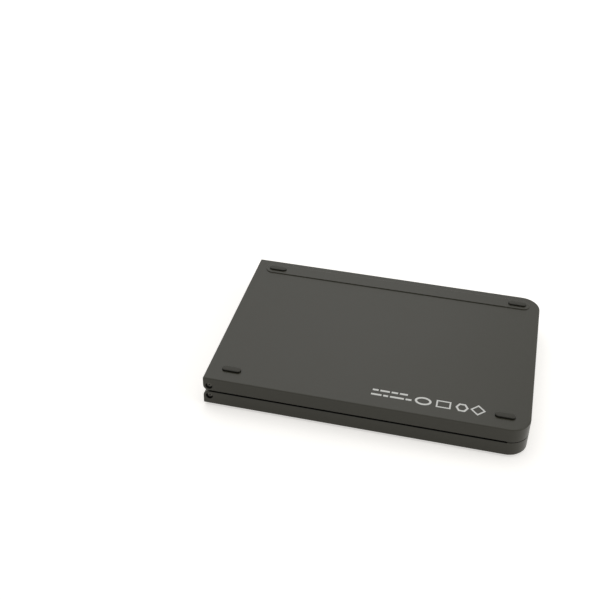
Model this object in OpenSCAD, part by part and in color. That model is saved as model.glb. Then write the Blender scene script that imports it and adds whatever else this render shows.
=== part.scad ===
// Folding keyboard, folded shut. Two keyed halves lie one on the other, keys inwards,
// and a spine with two pins joins them at one short end.
// X runs from the hinge end to the outer end, Y from the front edge to the rear edge, Z upwards.
// The origin is on the surface that the keyboard stands on, under the middle of its outline.

/* [Halves] */
// Length of one half, from the hinge end to the outer end
half_length = 146; // [146:1:170]
// Depth of both halves, from the front edge to the rear edge
depth = 100; // [100:1:125]
// Thickness of one half, without its feet
half_thickness = 7.25; // [7.2:0.05:9]
// Gap between the halves when they are shut, and again when they lie open
fold_gap = 0.3; // [0.3:0.05:0.8]
// Radius of the two corners at the outer end, seen from above
corner_radius = 9; // [6:0.5:11]
// Thickness of the case walls
wall = 1.2; // [1:0.1:1.5]
// Depth of the front and rear walls below the rim, which leaves a shadow line between the halves
rim_relief = 0.25; // [0.1:0.05:0.4]
// Thickness of the case floor
floor_thickness = 1; // [0.9:0.05:1.15]

/* [Underside] */
// Length of a rubber foot
foot_length = 9; // [6:0.5:12]
// Width of a rubber foot
foot_width = 3.2; // [2.8:0.1:5]
// Height that a front foot stands out of the underside
front_foot_height = 0.9; // [0.5:0.05:1.2]
// Height that a rear foot stands out of the bar it sits on
rear_foot_height = 0.75; // [0.5:0.05:1.5]
// Height of the bar under the rear feet
bar_height = 0.45; // [0.35:0.05:1.5]
// Width of the bar under the rear feet
bar_width = 7.2; // [6:0.1:9]
// Distance of the bar's ends from the ends of the half
bar_inset = 5; // [4:0.5:8]
// Distance of the feet's middles from both ends of the half
foot_inset = 11.2; // [10:0.1:20]
// Distance of the front feet's middles from the front edge
front_foot_inset = 8.3; // [6:0.1:14]
// Distance of the rear feet's middles from the rear edge
rear_foot_inset = 7.3; // [6:0.1:14]
// Depth of the pocket that a foot is glued into
foot_pocket = 0.3; // [0.2:0.05:0.4]

/* [Hinge] */
// Radius of the case corner round each pin, which is also the pin's distance from the end face
knuckle_radius = 2.8; // [2.6:0.05:3.1]
// Radius of the hinge pins
pin_radius = 0.7; // [0.5:0.05:0.8]
// Half the width of the links and the spine
link_half_width = 1.3; // [1.2:0.05:1.5]
// Length of a steel link along the pins
link_length = 4; // [2:0.5:8]
// Thickness of the case ear outside each link
ear_thickness = 2.5; // [2:0.1:4]
// Length of pin that reaches into the spine
pin_reach = 2.8; // [2:0.1:5]
// Radius of a pin's head
pin_head_radius = 1.15; // [1:0.05:1.4]
// Thickness of a pin's head
pin_head_thickness = 0.3; // [0.2:0.05:0.7]
// Radius of the dimple in a pin's head
dimple_radius = 0.4; // [0.2:0.05:0.45]
// Depth of the dimple in a pin's head
dimple_depth = 0.6; // [0.2:0.05:0.8]
// Radius of the round recess that a pin's head sits in
recess_radius = 1.65; // [1.5:0.05:2]
// Depth of the round recess that a pin's head sits in
recess_depth = 1.2; // [0.8:0.05:1.3]
// Radial clearance of a pin in a link, where it turns
running_clearance = 0.05; // [0.03:0.01:0.08]
// Radial clearance of a pin in a case ear, where it is held
held_clearance = 0.02; // [0.01:0.01:0.03]
// Clearance round the spine, the flat cable and the charging socket inside the halves
inner_clearance = 0.3; // [0.2:0.05:0.4]
// Clearance at both ends of the links
end_clearance = 0.1; // [0.05:0.05:0.3]

/* [Keys] */
// Width of the key frame's deck beyond the last keys, at the outer end
outer_border = 2.65; // [2.6:0.05:5]
// Width of the key frame's deck in front of the front row and behind the rear row
side_border = 3.7; // [3.6:0.05:5]
// Gap between neighbouring keycaps
key_gap = 2.4; // [2.2:0.1:3]
// Clearance between a keycap and its opening in the frame
cap_clearance = 0.4; // [0.2:0.05:0.6]
// Height of a keycap
cap_height = 2; // [1.6:0.1:2.2]
// Thickness of a keycap's top and skirt
cap_wall = 0.8; // [0.6:0.05:1]
// Size of the bevel on a keycap's corners
cap_corner = 1; // [0.5:0.1:2]
// Travel of a key
key_travel = 1.2; // [0.8:0.05:1.3]
// Depth of the keycaps' tops below the rim of the case
cap_sink = 0.5; // [0.4:0.05:0.6]
// Clearance left under a key that is pressed home
press_gap = 0.15; // [0.1:0.05:0.2]
// Clearance between the scissor links of a full-width key and its keycap's skirt
scissor_clearance = 1.3; // [0.6:0.1:2]
// Clearance between the scissor links of a narrow key and its keycap's skirt
narrow_scissor_clearance = 0.3; // [0.2:0.05:0.4]
// Clearance between the inner and the outer scissor link
ring_clearance = 0.2; // [0.1:0.05:0.3]
// Length of a scissor link
scissor_length = 10; // [8:0.2:11]
// Width of a scissor link's bars
scissor_bar = 0.9; // [0.6:0.05:1]
// Thickness of a scissor link's bars
scissor_thickness = 0.6; // [0.4:0.05:0.8]
// Clearance between a rubber dome and the inner scissor link of the narrowest key
dome_clearance = 0.2; // [0.1:0.05:0.6]
// Radius of a rubber dome at its top
dome_top = 1.6; // [1:0.1:2]

/* [Inside] */
// Thickness of the key frame's deck
deck_thickness = 1; // [0.8:0.05:1.1]
// Thickness of the key frame's skirt
skirt_thickness = 0.8; // [0.6:0.05:1]
// Width of the key frame's deck beside the first key, at the hinge end
hinge_border = 1.35; // [1.2:0.05:1.6]
// Clearance of the key frame inside the case walls
frame_clearance = 0.1; // [0.05:0.05:0.2]
// Thickness of the steel support plate
plate_thickness = 0.3; // [0.2:0.05:0.35]
// Thickness of the contact membrane
membrane_thickness = 0.2; // [0.15:0.05:0.25]
// Distance of the outermost stakes from the ends of the key rows
stake_inset = 1.3; // [1:0.1:3]
// Radius of the stakes that hold the key frame to its support plate
stake_radius = 0.6; // [0.4:0.05:0.7]
// Radius of the stakes' melted heads
stake_head_radius = 1; // [0.9:0.05:1.3]
// Thickness of the stakes' melted heads
stake_head_thickness = 0.4; // [0.2:0.05:0.5]
// Radius of the case screws
screw_radius = 0.6; // [0.5:0.05:0.7]
// Radius of the case screws' heads
screw_head_radius = 1.2; // [1:0.05:1.3]
// Thickness of the case screws' heads
screw_head_thickness = 0.5; // [0.3:0.05:0.5]
// Radius of the bosses that the case screws pass through
boss_radius = 1.9; // [1.7:0.05:2.1]
// Width of a closing magnet
magnet_width = 1.6; // [1:0.1:1.7]
// Length of a closing magnet
magnet_length = 14; // [8:1:20]
// Distance of the closing magnets from the middle of the depth
magnet_offset = 25; // [15:1:30]
// Length of the battery, along the half
battery_length = 62; // [40:1:66]
// Width of the battery, across the half
battery_width = 44; // [30:1:48]
// Thickness of the battery
battery_thickness = 1.6; // [1.2:0.05:1.6]
// Distance of the battery from the hinge end
battery_inset = 52; // [50:1:60]
// Length of the main circuit board, along the half
board_length = 26; // [22:1:30]
// Distance of the main circuit board from the hinge end
board_inset = 14.5; // [14.5:0.5:18]
// Distance of the board's front edge in front of the middle of the depth
board_reach = 9; // [8:0.5:14]
// Thickness of the main circuit board
board_thickness = 0.8; // [0.6:0.1:0.9]
// Height of the chip, the shield and the cable's connector on the main circuit board
chip_height = 0.8; // [0.5:0.05:0.85]
// Side of the square chip
chip_size = 7; // [4:0.5:9]
// Length of the shield over the radio, along the half
shield_length = 14; // [10:0.5:16]
// Width of the shield over the radio, across the half
shield_width = 11; // [8:0.5:13]
// Distance from the shield to the board's edges and to the chip
shield_margin = 5; // [3:0.5:6]
// Width of the charging socket's shell
socket_width = 8.94; // [8:0.02:9]
// Height of the charging socket's shell
socket_height = 3.2; // [2.9:0.01:3.26]
// Depth of the charging socket
socket_depth = 5.6; // [4.5:0.1:5.6]
// Distance of the charging socket's mouth inside the rear face
socket_setback = 0.2; // [0.1:0.05:0.4]
// Thickness of the charging socket's shell
socket_shell = 0.3; // [0.2:0.05:0.4]
// Distance of the charging socket's middle from the hinge end
socket_inset = 27.5; // [24:0.5:32]
// Distance of the indicator lens from the hinge end
lens_inset = 48; // [40:1:120]
// Radius of the indicator lens
lens_radius = 0.8; // [0.5:0.05:1]
// Width of the flat cable across the hinge
ribbon_width = 12; // [6:0.5:16]
// Thickness of the flat cable
ribbon_thickness = 0.15; // [0.1:0.01:0.2]
// Radius of the flat cable's bends
ribbon_bend = 0.6; // [0.4:0.05:0.65]
// Distance of the flat cable's ends from the hinge end
ribbon_end = 14.5; // [11:0.5:14.5]

/* [Hidden] */
$fn = 48;
// Overshoot of a cut past the face it opens
over = 1;
// Slack between flat inner pieces that only lie side by side
slack = 0.05;

// Heights in one half, from its outer face (0) to its rim
pin_level = half_thickness - knuckle_radius;
cap_top = half_thickness - cap_sink;
cap_bottom = cap_top - cap_height;
cap_underside = cap_top - cap_wall;
membrane_top = cap_bottom - key_travel - press_gap;
plate_top = membrane_top - membrane_thickness;
plate_bottom = plate_top - plate_thickness;
deck_top = cap_top - key_travel - press_gap;
deck_bottom = deck_top - deck_thickness;
screw_head_level = foot_pocket + slack;

// Heights of the shut keyboard
stand = max(front_foot_height, bar_height + rear_foot_height);
total_height = 2 * (stand + half_thickness) + fold_gap;
pin_spacing = 2 * knuckle_radius + fold_gap;

// Distances in one half, from its hinge end (0) to its outer end
notch_length = knuckle_radius + link_half_width + inner_clearance;
notch_level = pin_level - link_half_width - inner_clearance;
cavity_start = notch_length + wall;
frame_start = cavity_start + frame_clearance;
keys_start = frame_start + hinge_border;
skirt_inner = half_length - wall - frame_clearance - skirt_thickness;

// Widths of the keys, in the key units that each row is divided into
row_units = 7.5;
narrowest_key = 2.5 / 3;
key_pitch = (half_length - wall - frame_clearance - outer_border - keys_start) / row_units;
keys_end = keys_start + row_units * key_pitch;

// Distances from the middle of the depth
row_count = 5;
row_pitch = (depth - 2 * (wall + frame_clearance + side_border)) / row_count;
rear_key_line = row_count * row_pitch / 2;
rear_opening_edge = rear_key_line - key_gap / 2 + cap_clearance;
rear_skirt_inner = depth / 2 - wall - frame_clearance - skirt_thickness;

// Places along the pins
link_outer = depth / 2 - ear_thickness - end_clearance;
spine_end = link_outer - link_length;
pin_tip = spine_end - pin_reach;

// Places of the feet, and of the screws hidden under them
foot_places = [
    for (u = [foot_inset, half_length - foot_inset])
        for (v = [front_foot_inset - depth / 2, depth / 2 - rear_foot_inset]) [u, v]
];
bar_middle = depth / 2 - rear_foot_inset;

// Stakes stand in the key frame's webs, on the lines between the outermost and the next key rows
stake_line = rear_key_line - row_pitch;
stake_places = [
    for (u = [keys_start + stake_inset, half_length / 2, keys_end - stake_inset])
        for (v = [-stake_line, stake_line]) [u, v]
];

// Widths of the scissor links, and the rubber domes that stand inside the inner ones
function inside_cap(width, clearance) = width * key_pitch - key_gap - 2 * (cap_wall + clearance);
function inner_link_width(outer_width) = outer_width - 2 * (scissor_bar + ring_clearance);
dome_base = inner_link_width(inside_cap(narrowest_key, narrow_scissor_clearance)) / 2
    - scissor_bar - dome_clearance;

// Each key row runs from the hinge outwards, the rear row first.
// A key is the node that it belongs to and its width in key units.
left_rows = [
    [for (i = [1:6]) ["left_number_keys", 1], ["left_number_keys", 1.5]],
    [["key_t", 1.75], ["key_r", 1], ["key_e", 1], ["key_w", 1], ["key_q", 1], ["left_edge_keys", 1.75]],
    [["key_g", 1.5], ["key_f", 1], ["key_d", 1], ["key_s", 1], ["key_a", 1], ["left_edge_keys", 2]],
    [["key_b", 1], ["key_v", 1], ["key_c", 1], ["key_x", 1], ["key_z", 1], ["left_edge_keys", 2.5]],
    [["left_space_bar", 3], for (width = [1.25, 1, 1, 1.25]) ["left_edge_keys", width]],
];
right_rows = [
    [for (i = [1:6]) ["right_number_keys", 1], ["right_number_keys", 1.5]],
    [
        ["key_y", 1], ["key_u", 1], ["key_i", 1], ["key_o", 1], ["key_p", 1],
        for (i = [1:3]) ["right_edge_keys", narrowest_key]
    ],
    [
        ["key_h", 1], ["key_j", 1], ["key_k", 1], ["key_l", 1],
        for (width = [0.85, 0.85, 1.8]) ["right_edge_keys", width]
    ],
    [["key_n", 1], ["key_m", 1], for (width = [1, 1, 1, 1, 1.5]) ["right_edge_keys", width]],
    [["right_space_bar", 2.5], for (i = [1:5]) ["right_edge_keys", 1]],
];
left_key_nodes = [
    "left_number_keys", "left_edge_keys", "left_space_bar",
    "key_q", "key_w", "key_e", "key_r", "key_t", "key_a", "key_s", "key_d", "key_f", "key_g",
    "key_z", "key_x", "key_c", "key_v", "key_b",
];
right_key_nodes = [
    "right_number_keys", "right_edge_keys", "right_space_bar",
    "key_y", "key_u", "key_i", "key_o", "key_p", "key_h", "key_j", "key_k", "key_l", "key_n", "key_m",
];

case_color = "#4b4a46";
frame_color = "#3a3936";
cap_color = "#2b2b2a";
rubber_color = "#1f1f1e";
steel_color = "#8b8d8f";

// ---- Placing: each half is drawn flat, key side up, with its hinge end at x = 0 ----

module on_right_half() {
    translate([-half_length / 2, 0, stand]) children();
}

module on_left_half() {
    translate([-half_length / 2, 0, total_height - stand]) mirror([0, 0, 1]) children();
}

module at_lower_pin() {
    translate([knuckle_radius - half_length / 2, 0, stand + pin_level]) children();
}

// ---- Outlines ----

// The outline of a half: square corners at the hinge end, round ones at the outer end
module half_outline(start, inset, corner_steps = 48) {
    round = corner_radius - inset;
    middle = depth / 2 - corner_radius;
    translate([start, -depth / 2 + inset])
        square([half_length - corner_radius - start, depth - 2 * inset]);
    translate([start, -middle])
        square([half_length - inset - start, 2 * middle]);
    for (side = [-1, 1])
        translate([half_length - corner_radius, side * middle]) circle(r = round, $fn = corner_steps);
}

// An outline with half-circle ends, as long as it says over all
module pill(length, width) {
    square([length - width, width], center = true);
    for (side = [-1, 1])
        translate([side * (length - width) / 2, 0]) circle(d = width);
}

// ---- Case of one half ----

module case_body() {
    difference() {
        linear_extrude(half_thickness) half_outline(0, 0);
        // room for the electronics, the plate, the membrane and the keys
        translate([0, 0, floor_thickness])
            linear_extrude(half_thickness) half_outline(cavity_start, wall);
        // channel for the links and the spine, between the two ears
        translate([-over, -link_outer - end_clearance, notch_level])
            cube([notch_length + over, 2 * (link_outer + end_clearance), half_thickness]);
        // room for the round inner corners of the ears
        translate([-over, -depth / 2 - over, pin_level])
            cube([knuckle_radius + over, depth + 2 * over, knuckle_radius + over]);
        // shadow line, from the knuckles to the round corners
        for (side = [-1, 1])
            translate([knuckle_radius, side * (depth - ear_thickness + over) / 2, half_thickness])
                translate([0, -(ear_thickness + over) / 2, -rim_relief])
                    cube([half_length - corner_radius - knuckle_radius, ear_thickness + over,
                          rim_relief + over]);
        // slot for the flat cable
        translate([notch_length - over, -ribbon_width / 2 - inner_clearance, pin_level - ribbon_bend])
            cube([wall + 2 * over, ribbon_width + 2 * inner_clearance, 2 * ribbon_bend]);
    }
    for (side = [-1, 1])
        intersection() {
            translate([knuckle_radius, side * (depth - ear_thickness) / 2, pin_level])
                rotate([90, 0, 0]) cylinder(r = knuckle_radius, h = ear_thickness, center = true);
            translate([0, -depth / 2, pin_level - slack])
                cube([knuckle_radius, depth, knuckle_radius + slack]);
        }
    for (place = foot_places)
        translate([place.x, place.y, floor_thickness - slack])
            cylinder(r = boss_radius, h = plate_bottom - floor_thickness + slack);
    translate([half_length / 2, bar_middle, -bar_height])
        linear_extrude(bar_height + slack) pill(half_length - 2 * bar_inset, bar_width);
}

module bottom_case() {
    color(case_color)
    difference() {
        case_body();
        // bores and recesses for the hinge pins
        for (side = [-1, 1])
            translate([knuckle_radius, side * depth / 2, pin_level]) rotate([side * 90, 0, 0]) {
                translate([0, 0, -over]) cylinder(r = recess_radius, h = recess_depth + over);
                cylinder(r = pin_radius + held_clearance, h = ear_thickness + over);
            }
        // pockets for the feet, with a screw hole at the bottom of each
        for (place = foot_places) {
            pocket_top = foot_pocket - (place.y > 0 ? bar_height : 0);
            translate([place.x, place.y, pocket_top - bar_height - over])
                linear_extrude(bar_height + over) pill(foot_length, foot_width);
            translate([place.x, place.y, pocket_top - slack])
                cylinder(
                    r = screw_head_radius + slack,
                    h = screw_head_level + screw_head_thickness - pocket_top + slack
                );
            translate([place.x, place.y, 0])
                cylinder(r = screw_radius + slack, h = half_thickness);
        }
        children();
    }
}

module right_bottom_case() {
    on_right_half() bottom_case();
}

module left_bottom_case() {
    on_left_half() bottom_case() socket_window();
}

// The opening for the charging socket in the rear wall
module socket_window() {
    at_socket() translate([0, 0, -over])
        linear_extrude(socket_depth + over) pill(socket_width + 2 * slack, socket_height + 2 * slack);
}

// ---- Feet and case screws of one half ----

module feet() {
    color(rubber_color)
    for (place = foot_places) {
        rear = place.y > 0;
        seat = foot_pocket - (rear ? bar_height : 0);
        foot_height = rear ? rear_foot_height : front_foot_height;
        translate([place.x, place.y, seat - foot_pocket - foot_height])
            linear_extrude(foot_pocket + foot_height)
                pill(foot_length - 2 * slack, foot_width - 2 * slack);
    }
}

module case_screws() {
    color(steel_color)
    for (place = foot_places)
        translate([place.x, place.y, screw_head_level]) {
            cylinder(r = screw_head_radius, h = screw_head_thickness);
            cylinder(r = screw_radius, h = plate_top - screw_head_level);
        }
}

module right_feet() {
    on_right_half() feet();
}

module left_feet() {
    on_left_half() feet();
}

module right_case_screws() {
    on_right_half() case_screws();
}

module left_case_screws() {
    on_left_half() case_screws();
}

// ---- Support plate and membrane of one half ----

// Flat sheet under the keys, with holes for the stakes and the screws
module sheet(bottom, thickness) {
    difference() {
        translate([0, 0, bottom])
            linear_extrude(thickness) half_outline(frame_start, wall + frame_clearance);
        for (place = concat(stake_places, foot_places))
            translate([place.x, place.y, bottom - over])
                cylinder(r = max(stake_radius, screw_radius) + slack, h = thickness + 2 * over);
        ribbon_relief(bottom - over, thickness + 2 * over);
        children();
    }
}

// Room for the flat cable where it climbs to the hinge
module ribbon_relief(level, height) {
    translate([cavity_start - over, -ribbon_width / 2 - inner_clearance, level])
        cube([keys_start + key_gap / 2 - cap_clearance - cavity_start + over,
              ribbon_width + 2 * inner_clearance, height]);
}

// Room for the charging socket under the rear edge of the key frame
module socket_relief(bottom, top) {
    translate([socket_inset - socket_width / 2 - inner_clearance,
               depth / 2 - socket_depth - 2 * inner_clearance, bottom])
        cube([socket_width + 2 * inner_clearance, socket_depth, top - bottom]);
}

module support_plate() {
    color(steel_color) sheet(plate_bottom, plate_thickness) children();
}

module membrane() {
    color("#c9c7bd") sheet(plate_top, membrane_thickness) children();
}

module right_support_plate() {
    on_right_half() support_plate();
}

module left_support_plate() {
    on_left_half() support_plate() socket_relief(0, half_thickness);
}

module right_membrane() {
    on_right_half() membrane();
}

module left_membrane() {
    on_left_half() membrane() socket_relief(0, half_thickness);
}

// ---- Keys of one half ----

function total(list, count) = count == 0 ? 0 : list[count - 1] + total(list, count - 1);

// Runs its children once at the middle of each key of the rows, or of one node's keys.
// The children read the key's width in key units from $key_width, and in mm from $cap_width.
module at_keys(rows, name = "") {
    for (r = [0:row_count - 1]) {
        widths = [for (key = rows[r]) key[1]];
        for (i = [0:len(widths) - 1])
            if (name == "" || rows[r][i][0] == name) {
                $key_width = widths[i];
                $cap_width = $key_width * key_pitch - key_gap;
                translate([
                    keys_start + (total(widths, i) + widths[i] / 2) * key_pitch,
                    rear_key_line - (r + 0.5) * row_pitch, 0
                ])
                    children();
            }
    }
}

cap_depth = row_pitch - key_gap;

module cap_outline(width, length, corner) {
    x = width / 2;
    y = length / 2;
    polygon([
        [x, corner - y], [x, y - corner], [x - corner, y], [corner - x, y],
        [-x, y - corner], [-x, corner - y], [corner - x, -y], [x - corner, -y]
    ]);
}

// A keycap: a shallow shell that is open underneath
module keycaps(rows, name) {
    color(cap_color)
    at_keys(rows, name)
        translate([0, 0, cap_bottom]) difference() {
            linear_extrude(cap_height) cap_outline($cap_width, cap_depth, cap_corner);
            translate([0, 0, -over])
                linear_extrude(cap_height - cap_wall + over)
                    cap_outline($cap_width - 2 * cap_wall, cap_depth - 2 * cap_wall, cap_corner / 2);
        }
}

module left_keys(name) {
    on_left_half() keycaps(left_rows, name);
}

module right_keys(name) {
    on_right_half() keycaps(right_rows, name);
}

// A scissor link pair: an inner ring nested in an outer one and tilted the other way
module scissor_links(rows) {
    room = cap_underside - membrane_top - 2 * slack;
    tilt = asin((room - scissor_thickness) / scissor_length);
    color("#d8d5cc")
    at_keys(rows) {
        outer_width = $key_width < 1
            ? inside_cap($key_width, narrow_scissor_clearance)
            : inside_cap(1, scissor_clearance);
        for (ring = [[outer_width, tilt], [inner_link_width(outer_width), -tilt]])
            translate([0, 0, (cap_underside + membrane_top) / 2])
                rotate([ring[1], 0, 0])
                    difference() {
                        cube([ring[0], scissor_length, scissor_thickness], center = true);
                        cube([ring[0] - 2 * scissor_bar, scissor_length - 2 * scissor_bar,
                              scissor_thickness + over], center = true);
                    }
    }
}

// A rubber dome under each key, hollow so that it can buckle
module rubber_domes(rows) {
    height = cap_underside - membrane_top - slack;
    skin = 0.4;
    lip = 0.3;
    color("#b8b6ae")
    at_keys(rows)
        translate([0, 0, membrane_top])
            rotate_extrude()
                polygon([
                    [dome_base - 2 * skin, 0], [dome_base, 0], [dome_base, lip], [dome_base - skin, lip],
                    [dome_top, height], [0, height], [0, height - 2 * skin],
                    [dome_top - skin, height - 2 * skin]
                ]);
}

module right_rubber_domes() {
    on_right_half() rubber_domes(right_rows);
}

module left_rubber_domes() {
    on_left_half() rubber_domes(left_rows);
}

module right_scissor_links() {
    on_right_half() scissor_links(right_rows);
}

module left_scissor_links() {
    on_left_half() scissor_links(left_rows);
}

// ---- Key frame of one half: the deck round the keys, staked to the support plate ----

// A circle of this many steps gives the frame's hidden corners flat faces
frame_corner_steps = 12;

module key_frame(rows) {
    fit = wall + frame_clearance;
    color(frame_color)
    difference() {
        union() {
            difference() {
                translate([0, 0, membrane_top])
                    linear_extrude(deck_top - membrane_top)
                        half_outline(frame_start, fit, frame_corner_steps);
                translate([0, 0, membrane_top - over])
                    linear_extrude(deck_bottom - membrane_top + over)
                        half_outline(frame_start + skirt_thickness, fit + skirt_thickness,
                                     frame_corner_steps);
            }
            for (place = stake_places)
                translate([place.x, place.y, plate_bottom - stake_head_thickness]) {
                    cylinder(r = stake_radius, h = deck_bottom + slack - plate_bottom + stake_head_thickness);
                    cylinder(r = stake_head_radius, h = stake_head_thickness);
                }
        }
        at_keys(rows)
            translate([0, 0, membrane_top - over])
                linear_extrude(half_thickness)
                    cap_outline($cap_width + 2 * cap_clearance, cap_depth + 2 * cap_clearance, cap_corner);
        ribbon_relief(0, pin_level + ribbon_bend);
        children();
    }
}

module right_key_frame() {
    on_right_half() key_frame(right_rows);
}

module left_key_frame() {
    on_left_half() key_frame(left_rows) {
        socket_relief(0, deck_bottom);
        at_lens() cylinder(r = lens_radius + slack, h = half_thickness);
    }
}

// ---- Closing magnets of one half, under the deck beside the outer skirt ----

module magnets() {
    color("#a9abad")
    for (side = [-1, 1])
        translate([skirt_inner - slack - magnet_width, side * magnet_offset, membrane_top])
            translate([0, -magnet_length / 2, 0])
                cube([magnet_width, magnet_length, deck_bottom - membrane_top]);
}

module right_magnets() {
    on_right_half() magnets();
}

module left_magnets() {
    on_left_half() magnets();
}

// ---- Electronics, all in the left half ----

module at_socket() {
    translate([socket_inset, depth / 2 - socket_setback, floor_thickness + socket_height / 2])
        rotate([90, 0, 0]) children();
}

module at_lens() {
    translate([lens_inset, (rear_opening_edge + rear_skirt_inner) / 2, 0]) children();
}

module battery_pouch() {
    color("#b9bcc0")
    on_left_half()
        translate([battery_inset, -battery_width / 2, floor_thickness])
            cube([battery_length, battery_width, battery_thickness]);
}

module main_circuit_board() {
    board_rear = depth / 2 - socket_setback - socket_depth;
    board_top = floor_thickness + board_thickness;
    shield_front = board_rear - shield_margin - shield_width;
    connector_length = 3;
    connector_margin = 1;
    color("#1d5b3a")
    on_left_half() {
        translate([board_inset, -board_reach, floor_thickness])
            cube([board_length, board_reach + board_rear, board_thickness]);
        // the socket that the flat cable plugs into
        translate([ribbon_end, -ribbon_width / 2 - connector_margin, board_top - slack])
            cube([connector_length, ribbon_width + 2 * connector_margin, chip_height + slack]);
        // the shield over the radio, and the processor in front of it
        translate([board_inset + shield_margin, shield_front, board_top - slack])
            cube([shield_length, shield_width, chip_height + slack]);
        translate([board_inset + shield_margin + (shield_length - chip_size) / 2,
                   shield_front - shield_margin - chip_size, board_top - slack])
            cube([chip_size, chip_size, chip_height + slack]);
    }
}

module charging_socket() {
    side_room = 1.1;
    mouth_room = 1;
    tongue_width = socket_width - 2 * side_room;
    tongue_thickness = 0.7;
    back = 0.8;
    color(steel_color)
    on_left_half() at_socket() {
        difference() {
            linear_extrude(socket_depth) pill(socket_width, socket_height);
            translate([0, 0, -over])
                linear_extrude(socket_depth - back + over)
                    pill(socket_width - 2 * socket_shell, socket_height - 2 * socket_shell);
        }
        translate([-tongue_width / 2, -tongue_thickness / 2, mouth_room])
            cube([tongue_width, tongue_thickness, socket_depth - back - mouth_room + slack]);
    }
}

module indicator_lens() {
    flange = 0.4;
    color("#e8e8e8")
    on_left_half() at_lens() {
        translate([0, 0, deck_bottom - flange]) {
            cylinder(r = lens_radius + flange, h = flange);
            cylinder(r = lens_radius, h = deck_thickness + flange);
        }
    }
}

// ---- Hinge ----

// Section of the links and the spine, upright round both pins, with the lower pin at the origin
module link_section() {
    for (level = [0, pin_spacing])
        translate([0, level]) circle(r = link_half_width);
    translate([-link_half_width, 0]) square([2 * link_half_width, pin_spacing]);
}

// A length of the link section between two places along the pins
module link_bar(front, rear) {
    translate([0, rear, 0]) rotate([90, 0, 0]) linear_extrude(rear - front) link_section();
}

module pin_bores(front, rear) {
    for (level = [0, pin_spacing])
        translate([0, rear, level]) rotate([90, 0, 0])
            cylinder(r = pin_radius + running_clearance, h = rear - front);
}

module front_hinge_link() {
    color(steel_color)
    at_lower_pin() difference() {
        link_bar(-link_outer, -spine_end);
        pin_bores(-link_outer - over, -spine_end + over);
    }
}

module rear_hinge_link() {
    color(steel_color)
    at_lower_pin() difference() {
        link_bar(spine_end, link_outer);
        pin_bores(spine_end - over, link_outer + over);
    }
}

// The spine joins the two links and holds the flat cable in a slot at its middle
module hinge_spine() {
    window = ribbon_width + 2 * inner_clearance;
    bridge = 2 * ribbon_bend;
    outside = link_half_width + over;
    color(frame_color)
    at_lower_pin() difference() {
        link_bar(-spine_end, spine_end);
        pin_bores(-spine_end - over, -pin_tip + 2 * end_clearance);
        pin_bores(pin_tip - 2 * end_clearance, spine_end + over);
        for (start = [-outside, pin_spacing - bridge])
            translate([-outside, -window / 2, start])
                cube([2 * outside, window, outside + bridge]);
        translate([-ribbon_bend / 2, -window / 2, 0])
            cube([ribbon_bend, window, pin_spacing]);
    }
}

// Two pins on one axis, each with a dimple in its head
module hinge_pins() {
    head_face = depth / 2 - recess_depth + pin_head_thickness;
    color("#3b3b3b")
    for (side = [-1, 1])
        translate([knuckle_radius, side * head_face, pin_level]) rotate([side * 90, 0, 0])
            difference() {
                union() {
                    cylinder(r = pin_head_radius, h = pin_head_thickness);
                    cylinder(r = pin_radius, h = head_face - pin_tip);
                }
                translate([0, 0, -over]) cylinder(r = dimple_radius, h = dimple_depth + over);
            }
}

module right_hinge_pins() {
    on_right_half() hinge_pins();
}

module left_hinge_pins() {
    on_left_half() hinge_pins();
}

// Flat cable across the hinge, drawn on its middle line.
// It leaves each half at the height of its pin and runs through the middle of the spine.
bend_steps = 6;

function arc(x, y, radius, from, to) = [
    for (i = [0:bend_steps])
        let (turn = from + (to - from) * i / bend_steps) [x + radius * cos(turn), y + radius * sin(turn)]
];

// One face of the cable from its end to the middle of the spine, at a distance from its middle line
function ribbon_face(level, side) =
    let (
        edge = side * ribbon_thickness / 2,
        climb = keys_start - ribbon_bend,
        low = level - pin_level
    )
    concat(
        [[ribbon_end - knuckle_radius, low - edge]],
        arc(climb - knuckle_radius, low + ribbon_bend, ribbon_bend + edge, 270, 180),
        arc(climb - knuckle_radius - 2 * ribbon_bend, -ribbon_bend, ribbon_bend - edge, 0, 90),
        arc(ribbon_bend, ribbon_bend, ribbon_bend + edge, 270, 180)
    );

function upper(points) = [for (i = [len(points) - 1:-1:0]) [points[i].x, pin_spacing - points[i].y]];

function reversed(points) = [for (i = [len(points) - 1:-1:0]) points[i]];

module ribbon_cable() {
    right_level = plate_bottom - ribbon_thickness / 2;
    left_level = floor_thickness + board_thickness + chip_height / 2;
    color("#8a5a2b")
    at_lower_pin()
        translate([0, ribbon_width / 2, 0]) rotate([90, 0, 0])
            linear_extrude(ribbon_width)
                polygon(concat(
                    ribbon_face(right_level, 1), upper(ribbon_face(left_level, 1)),
                    reversed(upper(ribbon_face(left_level, -1))), reversed(ribbon_face(right_level, -1))
                ));
}

right_bottom_case();
right_key_frame();
right_support_plate();
right_membrane();
right_rubber_domes();
right_scissor_links();
right_feet();
right_case_screws();
right_magnets();
right_hinge_pins();
left_bottom_case();
left_key_frame();
left_support_plate();
left_membrane();
left_rubber_domes();
left_scissor_links();
left_feet();
left_case_screws();
left_magnets();
left_hinge_pins();
battery_pouch();
main_circuit_board();
charging_socket();
indicator_lens();
front_hinge_link();
rear_hinge_link();
hinge_spine();
ribbon_cable();
for (name = left_key_nodes) left_keys(name);
for (name = right_key_nodes) right_keys(name);
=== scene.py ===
# A keyboard in two halves, folded shut and lying on its feet: how each piece of it looks.
# The pieces follow the order in which the keyboard is put together, from its cases to its hinge.
import math

import bmesh
import bpy
from mathutils import Matrix, Vector


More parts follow.
